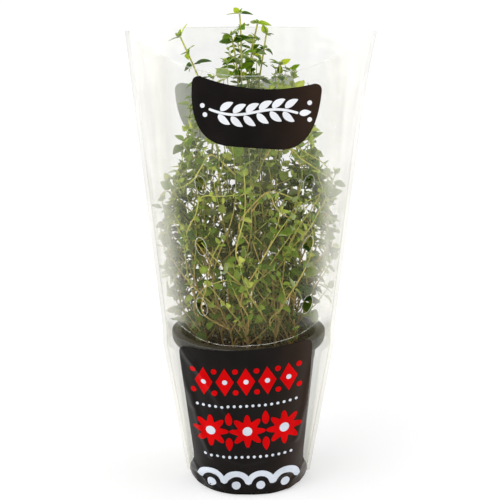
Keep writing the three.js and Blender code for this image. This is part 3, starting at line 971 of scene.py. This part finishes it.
def make_soil():
    """Crumbly potting mix, with chips of bark and grains of perlite in its top."""
    rng = random.Random(5)
    outer, rings, chips = SOIL_EDGE_RADIUS, 34, 420
    bottom = FLOOR_TOP + GAP
    profile = [(0, bottom), (wall_radius(bottom) - WALL - GAP, bottom), (outer, SOIL_EDGE_Z - 0.4)]
    soil = Build()
    lathe(soil, profile + [(outer * k / rings, 0) for k in range(rings, -1, -1)], 110)
    for v in soil.vertices:
        if v.z == 0:
            radius = hypot(v.x, v.y)
            lumps = waves(v.x / 4.5, v.y / 4.5, 3) + 0.6 * waves(v.x / 1.7, v.y / 1.7, 9)
            v.z = soil_top(radius) + lumps * clamp((outer - radius) / 2) - 0.5
    for _ in range(chips):
        radius, a = (outer - 2.5) * sqrt(rng.random()), rng.uniform(0, 2 * pi)
        size = rng.uniform(0.6, 1.9)
        centre = Vector((radius * cos(a), radius * sin(a), soil_top(radius) - 0.1))
        chip(soil, rng, centre, size, 2 if rng.random() < 0.05 else 1)
    soil.piece("soil", [PEAT, BARK, PERLITE], 50)


# ---- Thyme ----
def chance(i, k):
    wave = sin(i * 127.1 + k * 311.7) * 43758.5453
    return wave - floor(wave)


def stem_ends(i):
    rank = sqrt((i + 0.5) / SPRIGS)
    across, deep = rank * cos(i * GOLDEN_ANGLE), rank * sin(i * GOLDEN_ANGLE)
    root = Vector((BASE_RADIUS * across, BASE_RADIUS * deep, soil_top(BASE_RADIUS * rank) + GAP))
    if i < len(LEADER_TIPS):
        return root, Vector(LEADER_TIPS[i])
    height = lerp(INNER_TOP, OUTER_TOP, rank**CROWN) + HEIGHT_JITTER * (2 * chance(i, 2) - 1)
    return root, Vector((CANOPY_X * across, CANOPY_Y * deep, height))


def stem_point(i, t):
    root, tip = stem_ends(i)
    fan = sin(min(1, t * (tip.z - root.z) / FAN_HEIGHT) * pi / 2)
    lean = t**LEADER_LEAN if i < len(LEADER_TIPS) else fan
    phase = 2 * pi * (WAVES * t + chance(i, 3))
    swing = WANDER * sin(min(1, 2 * t) * pi / 2)
    x = lerp(root.x, tip.x, lean) + swing * sin(phase)
    y = lerp(root.y, tip.y, lean) + swing * cos(0.8 * phase + i)
    return Vector((x, y, lerp(root.z, tip.z, t)))


def grown_point(i, t):
    """A point of a main stem. All but the leaders sway more than their CAD solids do."""
    spot = stem_point(i, t)
    if i < len(LEADER_TIPS):
        return spot
    reach = lerp(3, 9, chance(i, 5)) * sin(min(1, 3 * t) * pi / 2)
    turn = 2 * pi * (lerp(0.5, 1.1, chance(i, 7)) * t + chance(i, 6))
    return spot + Vector((reach * sin(turn), 0.6 * reach * cos(turn), 0))


def kept_inside(p, margin):
    """p, moved clear of the film and, below the rim, of the pot."""
    x, y, z = p
    side = -1 if y < 0 else 1
    if z < top_edge(x, side):
        limit = along_sleeve(HALF_WIDTH, z) - margin - 1
        x = clamp(x, -limit, limit)
        limit = max(0.3, bulge(x, z) - margin - 1.4)
        y = clamp(y, -limit, limit)
    if z < RIM_TOP + 1:
        radius = hypot(x, y)
        limit = POT_NECK - WALL - 0.6 - 0.3 * margin
        if radius > limit:
            x, y = x * limit / radius, y * limit / radius
        z = max(z, soil_top(min(radius, SOIL_EDGE_RADIUS)) + 0.2)
    return Vector((x, y, z))


YOUNG, GREEN, DEEP = Vector((0.46, 0.53, 0.09)), Vector((0.134, 0.232, 0.02)), Vector((0.028, 0.064, 0.007))
SUNLIT = Vector((0.95, 1.0, 0.3))  # the leaves outside the sleeve are a stronger green
UNDERSIDE = Vector((0.3, 0.36, 0.17))
WOOD, BARK_BROWN, SHOOT = Vector((0.58, 0.38, 0.12)), Vector((0.3, 0.17, 0.06)), Vector((0.58, 0.57, 0.12))
CANOPY = [(100, 42), (125, 46), (150, 51), (180, 53), (200, 51), (215, 46), (235, 41), (280, 38), (330, 60)]


def canopy_half(z):
    """Half width of the dense part of the plants at height z."""
    for (low, a), (high, b) in zip(CANOPY, CANOPY[1:]):
        if z < high:
            return lerp(a, b, clamp((z - low) / (high - low)))
    return CANOPY[-1][1]


def kept_bushy(p, margin):
    """p, moved inside the dense part of the plants."""
    limit = canopy_half(p.z) + 2.5 * waves(p.y / 8, p.z / 8, 20 if p.x > 0 else 30)
    return kept_inside(Vector((clamp(p.x, -limit, limit), p.y, p.z)), margin)


def tube(build, points, start, end, tints, sides):
    """A stem along points, from radius start to radius end, closed at both ends."""
    vertices, faces, colours = [], [], []
    last = len(points) - 1
    for k, p in enumerate(points):
        along = (points[min(last, k + 1)] - points[max(0, k - 1)]).normalized()
        across = across - along * across.dot(along) if k else along.orthogonal()
        across.normalize()
        other = along.cross(across)
        radius = lerp(start, end, k / last)
        for s in range(sides):
            a = 2 * pi * s / sides
            vertices.append(p + across * (radius * cos(a)) + other * (radius * sin(a)))
    for k in range(last):
        a, b = k * sides, (k + 1) * sides
        for s in range(sides):
            after = (s + 1) % sides
            faces.append([a + s, a + after, b + after, b + s])
            colours.append(tuple(tints(k / last)))
    faces += [list(range(sides))[::-1], [last * sides + s for s in range(sides)]]
    colours += [tuple(tints(0)), tuple(tints(1))]
    build.add(vertices, faces, 1, colours)


CAMERA = Vector((1, -820, 351.3))  # small gaps in the leaves are placed as seen from here
LOW_Z = 110  # the lowest leaves, just above the pot's rim
# Painted shade: the lowest leaves are made a deeper green, and the leaves in the middle of the plants darker.
LOW_SHADE = 0.35
INNER_SHADE = 0.22  # how dark the leaves are in the middle of the plants
BEHIND_VENT = 12  # no leaf is nearer than this behind an air hole
OUT_Z = 266  # above it the leaders are seen outside the sleeve
CROWN_Z = 195  # above it the stems are more leafy
SIDE_X, SIDE_SHOOTS = 24, 3  # plants that end farther out have this many more side shoots


def seen_at(p, y):
    """X and Z where a point is seen from the front on the plane of y."""
    share = (y - CAMERA.y) / (p.y - CAMERA.y)
    return lerp(CAMERA.x, p.x, share), lerp(CAMERA.z, p.z, share)


def gaps_in_leaves():
    """The small gaps that can be seen through, as (x, z, radius) on the plane y = 0."""
    rng = random.Random(77)
    gaps = []
    for _ in range(38):
        x = copysign(44 * rng.random() ** 0.7, rng.random() - 0.5)
        gaps.append((x, lerp(112, 225, rng.random() ** 1.3), rng.uniform(0.6, 1.6)))
    return gaps


SEE_THROUGH = gaps_in_leaves()


def in_gap(points):
    """Whether any of the points covers a gap."""
    for p in points:
        x, z = seen_at(p, 0)
        for gap_x, gap_z, radius in SEE_THROUGH:
            if abs(x - gap_x) < radius and hypot(x - gap_x, z - gap_z) < radius:
                return True
    return False


def behind_vent(p):
    """Whether a point is close behind an air hole of the front panel, as seen from the front."""
    for vent_x, vent_z, _ in VENTS:
        vent_y = -bulge(vent_x, vent_z)
        x, z = seen_at(p, vent_y)
        near = p.y - vent_y < BEHIND_VENT
        if near and abs(x - vent_x) < VENT_HALF_WIDTH + 0.6 and abs(z - vent_z) < VENT_HALF_HEIGHT:
            return True
    return False


def low_light(z, least, span=50):
    """The share of the light at height z: least just above the pot, and all of it span mm higher."""
    return lerp(least, 1, clamp((z - LOW_Z) / span))


def inner_shade(p):
    """Painted shade: the leaves are darker inside the plants, below their crown, and low down."""
    outer = hypot(p.x / canopy_half(p.z), p.y / CANOPY_Y)
    light = max(clamp((outer - 0.5) / 0.6), clamp((p.z - 190) / 40))
    return lerp(INNER_SHADE, 1.1, light) * low_light(p.z, 0.52)


# Along a leaf: shares of its length, and its half width there.
STATIONS = (0.1, 0.21, 0.36, 0.54, 0.73, 0.9)
OUTLINE = (0.14, 0.74, 1.0, 0.92, 0.64, 0.29)


def leaf(build, base, along, face, length, half_width, fold, curl, top, under):
    """A thin closed blade: a short stalk, folded up along its midrib and bent back along its length."""
    across = along.cross(face)

    def midrib(s):
        down = face * ((1 - cos(curl * s)) / curl * length)
        return base + along * (sin(curl * s) / curl * length) - down

    vertices = [base]
    for s, share in zip(STATIONS, OUTLINE):
        middle, half = midrib(s), half_width * share
        side, lift, thick = across * half, face * (fold * half), face * (0.16 + 0.08 * share)
        vertices += [middle - side + lift, middle + thick, middle + side + lift, middle - thick]
    vertices = [kept_inside(v, 0) for v in (*vertices, midrib(1))]
    if in_gap(vertices) or any(behind_vent(v) for v in vertices[::4]):
        return
    rim, rib, last = 0.93, 1.16, len(vertices) - 1
    strips = [(0, 1, top), (1, 2, top), (2, 3, under), (3, 0, under)]
    faces, tints = [], []
    for a in range(1, last - 4, 4):
        for first, second, colour in strips:
            faces.append([a + first, a + second, a + 4 + second, a + 4 + first])
            shades = (rib, rim, rim, rib) if first % 2 else (rim, rib, rib, rim)
            tints.append([tuple(colour * shade) for shade in shades])
    for first, second, colour in strips:
        faces += [[0, 1 + second, 1 + first], [last - 4 + first, last - 4 + second, last]]
        tints += [tuple(colour)] * 2
    build.add(vertices, faces, 0, tints)


def leaf_pair(build, rng, base, axis, turn, length, slim, rise, age, radius, loose=0.35):
    """Two opposite leaves. rise is their angle from square to the stem towards its tip, and loose is how
    much each leaf is turned out of its place."""
    side = axis.orthogonal().normalized()
    other = axis.cross(side)
    for half in (0, pi):
        a = turn + half + rng.gauss(0, loose)
        out = side * cos(a) + other * sin(a)
        lift = rise + rng.gauss(0, loose)
        along = out * cos(lift) + axis * sin(lift)
        face = axis * cos(lift) - out * sin(lift)
        outward = Vector((base.x + rng.gauss(0, 12), base.y + rng.gauss(0, 12), 0)).normalized()
        face = face + outward * rng.uniform(0, 1.4)
        face = (face - along * face.dot(along)).normalized()
        twist = rng.gauss(0, loose)
        face = face * cos(twist) + along.cross(face) * sin(twist)
        # shade runs from young to deep green with age, raised for the low leaves as painted shade.
        shade = clamp(age + rng.gauss(0, 0.33) + LOW_SHADE * clamp((135 - base.z) / 30))
        top = YOUNG.lerp(GREEN, 2 * shade) if shade < 0.5 else GREEN.lerp(DEEP, 2 * shade - 1)
        sunlit = clamp((base.z - OUT_Z) / 10)
        # Painted shade inside the plants and just above the pot.
        light = inner_shade(base)
        top = Vector(channel * lerp(1, gain, sunlit) for channel, gain in zip(top, SUNLIT)) * light
        under = UNDERSIDE * rng.uniform(0.7, 1.1) * light
        size = length * rng.uniform(0.8, 1.2)
        half_width = size * slim * rng.uniform(0.9, 1.1)
        fold, curl = rng.uniform(0.05, 0.4), rng.uniform(0.15, 0.9)
        leaf(build, base + out * radius * 0.6, along, face, size, half_width, fold, curl, top, under)


def along_line(points, share):
    """The point at a share of a line's points, and the line's direction there."""
    place = share * (len(points) - 1)
    low = min(int(place), len(points) - 2)
    return points[low].lerp(points[low + 1], place - low), (points[low + 1] - points[low]).normalized()


def shoot(build, rng, base, out, length, leaf_length, slim, age, radius, woody=0.3, bend=0.9, gap=0.8):
    """A side shoot that turns up as it grows."""
    steps = max(5, round(length / 3))  # of about 3 mm
    points, heading = [base], out.normalized()
    pull = Vector((rng.gauss(0, 0.35), rng.gauss(0, 0.35), 1)).normalized()
    for _ in range(steps):
        sway = Vector((rng.gauss(0, 0.06), rng.gauss(0, 0.06), 0))
        heading = (heading + pull * (bend / steps) + sway).normalized()
        points.append(kept_bushy(points[-1] + heading * (length / steps), 1.2))
    leafy_line(build, rng, points, length, leaf_length, slim, age, radius, woody, gap)


def leafy_line(build, rng, points, length, leaf_length, slim, age, radius, woody, gap):
    """A thin stem along points, with pairs of leaves gap leaf lengths apart that get smaller to its tip."""
    # Painted shade: a low twig is darker as a whole.
    light, fresh = low_light(points[len(points) // 2].z, 0.5, 45), 1 - woody * 2
    tube(build, points, radius, radius * 0.55, lambda t: WOOD.lerp(SHOOT, clamp(fresh + t)) * light, 5)
    pairs = max(1, int(length / (leaf_length * gap * rng.uniform(0.9, 1.15))))
    turn = rng.uniform(0, pi)
    for k in range(pairs):
        t = (k + 0.9) / (pairs + 0.3)
        spot, axis = along_line(points, t)
        size = leaf_length * lerp(1.05, 0.7, t**2)
        leaf_pair(build, rng, spot, axis, turn + k * pi / 2, size, slim, lerp(0.1, 0.6, t), age, radius)
    tip, axis = along_line(points, 1)
    leaf_pair(build, rng, tip, axis, turn, leaf_length * 0.6, slim, 0.8, age * 0.5, 0.3)
    leaf_pair(build, rng, tip, axis, turn + pi / 2, leaf_length * 0.35, slim, 1.1, age * 0.3, 0.3)


def toward(a, rise):
    """A direction at an angle round Z."""
    return Vector((cos(a), sin(a), rise))


def node_tuft(build, rng, spot, axis, turn):
    """The small leaves in the axils of a node near the top of a tall plant."""
    for k in range(rng.randint(1, 2)):
        size = rng.uniform(4, 7.5)
        leaf_pair(build, rng, spot + axis * (0.6 * k), axis, turn + 0.5 + k, size, 0.28, 0.6, 0.7, 0.4, 0.5)


def leafy_stem(build, rng, points, radius, first, low_leaves, free=False):
    """An upright stem with its leaves and side shoots. Shoots grow above the height first. The part of
    a free stem outside the sleeve has longer leaves, with tufts in their axils."""
    bottom, top = points[0].z, points[-1].z
    fresh = SHOOT.lerp(GREEN, 0 if free else rng.uniform(0, 0.75))

    def colours(t):
        z = lerp(bottom, top, t)
        # Painted shade: the stem is darker low down, just above the pot.
        wood = fresh.lerp(WOOD, clamp((225 - z) / 90)) * low_light(z, 0.55)
        return wood.lerp(BARK_BROWN, 0.5 * clamp((150 - z) / 40) * rng.random())

    tube(build, points, radius, radius * (0.8 if free else 0.4), colours, 6)
    z = bottom + rng.uniform(6, 14)
    turn = rng.uniform(0, pi)
    while z < top - 3:
        share = (z - bottom) / (top - bottom)
        spot, axis = along_line(points, share)
        height = clamp((z - 120) / 90)
        outside = free and z > OUT_Z - 4
        if outside:
            size, slim, age = rng.uniform(8.5, 12), rng.uniform(0.24, 0.33), rng.uniform(0.75, 1.3)
            if rng.random() < 0.25:
                size, slim = 8, 0.42
            rise = rng.uniform(-0.1, 0.5)
            leaf_pair(build, rng, spot, axis, turn, size, slim, rise, age, radius * 0.6, 0.3)
            node_tuft(build, rng, spot, axis, turn)
            if rng.random() < 0.35 and z < top - 14:
                out = toward(turn + 1.2, 1.4)
                shoot(build, rng, spot, out, rng.uniform(10, 16), 6, 0.24, 0.7, 0.4, 0, 0.6)
        else:
            size, slim = lerp(10.8, 9.2, height) * rng.uniform(0.6, 1.2), rng.uniform(0.31, 0.41)
            age = lerp(0.76, 0.42, height) - 0.15 * clamp((z - CROWN_Z) / 20)
            if z > first or rng.random() < low_leaves:
                leaf_pair(build, rng, spot, axis, turn, size, slim, lerp(0.15, 0.6, share**3), age, radius)
            if z > first and rng.random() < (0.35 if z > CROWN_Z else 0.28) and z < top - 12:
                a = turn + (pi / 2 if rng.random() < 0.5 else 0) + rng.gauss(0, 0.4)
                out = toward(a, rng.uniform(0.0, 0.9))
                length = rng.uniform(10, 26) * (1 if z < top - 40 else 0.7)
                shoot(build, rng, spot, out, length, size * 0.85, slim, age, rng.uniform(0.35, 0.5))
        turn += pi / 2 + rng.gauss(0, 0.15)
        z += rng.uniform(7.5, 11) if outside else rng.uniform(9, 14) if z > CROWN_Z else rng.uniform(12, 19)
    tip, axis = along_line(points, 1)
    for k, size in enumerate((9.5, 6.5, 4.0) if free else (6.4, 4.0)):
        leaf_pair(build, rng, tip, axis, turn + k * pi / 2, size, 0.26, 0.45 + 0.3 * k, 0.4, 0.3, 0.25)


# Kinds of twig: the shape and age of their leaves, their radius, how woody they are, how much they bend
# up, and the distance between pairs of leaves in leaf lengths.
THIN_TWIG = (0.32, 0.6, 0.55, 0.7, 0.25, 2.0)
LONG_TWIG = (0.34, 0.45, 0.52, 0.45, 0.5, 1.3)
SIDE_SHOOT = (0.38, 0.5, 0.45, 0.3, 0.6, 0.95)
# Long shoots that bend and cross in front of the others, as points in mm, with the length of their leaves.
BENT_SHOOTS = [
    ([(-40, -33, 179), (-34, -36, 192), (-30, -39, 204), (-18, -42, 205), (-7, -43, 206)], 5.5),
    ([(-6, -40, 186), (5, -43, 202), (14, -42, 208), (27, -40, 204), (36, -36, 196)], 6),
    ([(-30, -38, 127), (-27, -40, 146), (-24, -41, 163), (-17, -43, 177)], 7),
    ([(0, -42, 124), (-3, -44, 131), (-7, -45, 138), (-12, -44, 150)], 6.5),
    ([(2, -42, 130), (2, -45, 140), (7, -45, 158)], 6),
    ([(-3, -43, 144), (4, -44, 155), (11, -44, 168), (19, -42, 181), (27, -40, 192)], 7),
    ([(23, -40, 134), (31, -38, 146), (39, -33, 160), (42, -31, 174), (40, -28, 188)], 7.5),
    ([(-8, -44, 170), (-3, -43, 190), (-2, -43, 205), (-3, -42, 222)], 7),
    ([(12, -42, 207), (18, -42, 197), (27, -40, 191), (32, -38, 199)], 5.5),
    ([(26, -37, 236), (34, -36, 228), (46, -29, 219), (52, -22, 212), (48, -26, 205), (38, -33, 200)], 5),
    ([(20, -34, 240), (36, -33, 232), (50, -24, 222), (55, -16, 208)], 5),
    ([(-23, -38, 231), (-30, -38, 223), (-35, -36, 215), (-41, -32, 210), (-47, -28, 207)], 5.5),
    ([(-59, -8, 178), (-53, -18, 183), (-45, -28, 184), (-39, -33, 180)], 4.5),
    ([(-36, -28, 128), (-30, -36, 142), (-14, -43, 150), (-2, -45, 146)], 6),
    ([(14, -38, 122), (24, -40, 134), (20, -43, 152)], 6.5),
]
# Low shoots that lean out to the sides of the sleeve, with larger leaves, by their tips.
SIDE_TIPS = [
    *((-58, -5, 168), (-56, -9, 150), (-53, -10, 134), (-46, -22, 122), (-57, -12, 196), (-52, -18, 210)),
    *((57, -11, 178), (56, -8, 155), (54, -2, 134), (53, -20, 199), (57, -12, 214), (50, 14, 150)),
    *((-50, 16, 158), (-44, 26, 140), (42, 28, 138)),
]


def nearest_plant(point, rise):
    """The plant whose main stem passes nearest below a point, and the stem's point there."""
    found = []
    for i in range(SPRIGS):
        root, tip = stem_ends(i)
        share = max(0.02, (point.z - rise - root.z) / (tip.z - root.z))
        if share < 0.9:
            spot = grown_point(i, share)
            found.append(((spot - point).length, i, spot))
    return min(found)[1:]


def added_shoots():
    """The bent shoots and side shoots of each plant, as lines of points and leaf lengths."""
    grown = {i: [] for i in range(SPRIGS)}
    for points, leaf_length in BENT_SHOOTS:
        line_points = [Vector(p) for p in points]
        i, spot = nearest_plant(line_points[0], 14)
        grown[i].append((smooth_line([spot, *line_points], 6), leaf_length * 1.15, 1.5))
    for tip in SIDE_TIPS:
        end = Vector(tip)
        i, spot = nearest_plant(end, 22)
        middle = spot.lerp(end, 0.55) - UP * 3
        grown[i].append((smooth_line([spot, middle, end], 6), 11.4, 0.9))
    return grown


def make_sprig(i, added):
    """One plant: its main stem, perhaps one more, thin twigs from its foot, and their shoots and leaves."""
    rng = random.Random(100 + i)
    build = Build()
    root, tip = stem_ends(i)
    leader, steps = i < len(LEADER_TIPS), 56
    main = [grown_point(i, k / steps) for k in range(steps + 1)]
    main = [kept_inside(p, 1.5) if k > 3 else p for k, p in enumerate(main)]
    main[0] = root - UP * 1.5
    leafy_stem(build, rng, main, 0.72 if leader else 0.6, rng.uniform(118, 150), 0.15, leader)
    if i % 3:
        begin, reach = rng.randint(1, 7), rng.randint(24, 44)
        a = rng.uniform(0, 2 * pi)
        off = toward(a, 0) * rng.uniform(10, 30)
        points = []
        for k in range(begin, begin + reach):
            share = (k - begin) / reach
            sway = Vector((sin(k * 0.19 + a), cos(k * 0.15 + 2 * a), 0)) * 3.5 * share
            points.append(kept_bushy(main[min(k, steps)] + off * share**0.8 + sway, 1.5))
        leafy_stem(build, rng, points, 0.52, rng.uniform(116, 146), 0.2)
    for _ in range(rng.randint(2, 4)):
        spot = main[rng.randint(1, 5)]
        out = toward(rng.uniform(0, 2 * pi), rng.uniform(0.6, 2.2))
        shoot(build, rng, spot, out, rng.uniform(16, 56), rng.uniform(3.8, 6), *THIN_TWIG)
    for _ in range(2):
        spot = main[rng.randint(2, 22)]
        a = rng.uniform(0, 2 * pi)
        out = Vector((cos(a) * 1.3, sin(a) * 0.8, rng.uniform(0.7, 1.6)))
        shoot(build, rng, spot, out, rng.uniform(38, 78), rng.uniform(6, 9), *LONG_TWIG)
    for points, leaf_length, gap in added:
        length = sum((b - a).length for a, b in zip(points, points[1:]))
        points = [kept_inside(p, 1.0) for p in points]
        woody = 0.5 if points[-1].z < 200 else 0.25
        leafy_line(build, rng, points, length, leaf_length, 0.34, 0.4, 0.55, woody, gap)
    for _ in range(SIDE_SHOOTS if abs(tip.x) > SIDE_X and not leader else 0):
        spot = main[rng.randint(16, 46)]
        out = Vector((copysign(rng.uniform(0.3, 1.2), tip.x), rng.gauss(0, 0.6), rng.uniform(0.2, 1.2)))
        shoot(build, rng, spot, out, rng.uniform(14, 30), rng.uniform(8, 11), *SIDE_SHOOT)
    build.piece(f"thyme_sprig_{i + 1:02d}", [LEAF, STEM], 75)


# ---- Stage ----
CAMERA_PLACE, LOOKS_DOWN = (0.001, -0.82, 0.3513), 13.12  # metres, degrees
SENSOR, FOCAL_PIXELS, PHOTO_PIXELS = 36, 1242, 500


def make_camera():
    camera = add_object("camera", bpy.data.cameras.new("camera"))
    camera.data.sensor_width = SENSOR
    camera.data.lens = FOCAL_PIXELS * SENSOR / PHOTO_PIXELS
    camera.location = CAMERA_PLACE
    camera.rotation_euler = (radians(90 - LOOKS_DOWN), 0, 0)
    bpy.context.scene.camera = camera


def sun(name, direction, strength, angle):
    """Soft light from a direction, wide enough that its shadows have no edge."""
    light = bpy.data.lights.new(name, "SUN")
    light.energy = strength
    light.angle = radians(angle)
    add_object(name, light).rotation_euler = Vector(direction).to_track_quat("Z", "Y").to_euler()


FLOOR_HALF, FLOOR_Z = 6, -0.0002  # metres
BACKDROP = 1.02  # what the camera sees behind the pot
FRONT_LIGHT, SIDE_LIGHT = 0.45, 1.9  # light from the front and back, and from both sides


def make_stage():
    """Even white light that is stronger from both sides, two soft suns and a pale floor."""
    scene = bpy.context.scene
    scene.view_settings.view_transform = "Standard"
    scene.world = bpy.data.worlds.new("studio")
    scene.world.use_nodes = True
    world = Nodes(scene.world.node_tree)
    aside = world.math("ABSOLUTE", world.axis(world.node("ShaderNodeTexCoord").outputs["Generated"], "X"))
    around = world.spread(aside, FRONT_LIGHT, SIDE_LIGHT, 0.45, 0.85, "SMOOTHSTEP")
    seen = world.node("ShaderNodeLightPath").outputs["Is Camera Ray"]
    background = world.tree.nodes["Background"].inputs
    world.feed(background["Color"], (1, 1, 1, 1))
    world.feed(background["Strength"], world.spread(seen, around, BACKDROP))
    sun("key", (-0.6, -0.75, 1.0), 0.6, 35)
    sun("back", (0.1, 0.9, 0.9), 0.25, 50)
    glow = {"Specular IOR Level": 0.0, "Emission Color": (1, 1, 1, 1), "Emission Strength": 0.42}
    paint = Paint("studio_floor", glow)
    pale = paint.ramp(paint.noise(3, 2), (0.3, (0.69,) * 3), (0.7, (0.71,) * 3))
    paint.finish(pale, 8, 0.85, 1.0)
    mesh = bpy.data.meshes.new("floor")
    corners = (-1, -1), (1, -1), (1, 1), (-1, 1)
    mesh.from_pydata([(x * FLOOR_HALF, y * FLOOR_HALF, FLOOR_Z) for x, y in corners], [], [[0, 1, 2, 3]])
    mesh.materials.append(paint.material)
    add_object("floor", mesh)


make_camera()
make_stage()
make_pot()
make_soil()
for plant, added in added_shoots().items():
    make_sprig(plant, added)
upper_front = make_upper_print(-1, PRINT_SHIFT, 0, "upper_front_print")
upper_back = make_upper_print(1, BACK_SHIFT, BACK_DROP, "upper_back_print")
lower_front = make_lower_print()
front = make_panel(-1, "sleeve_front_film", FILM)
back = make_panel(1, "sleeve_back_film", FILM_BACK)
bottom_film = make_bottom_film()

back_ink, front_ink = [upper_back], [upper_front, lower_front]
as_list(front_ink)
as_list(back_ink)
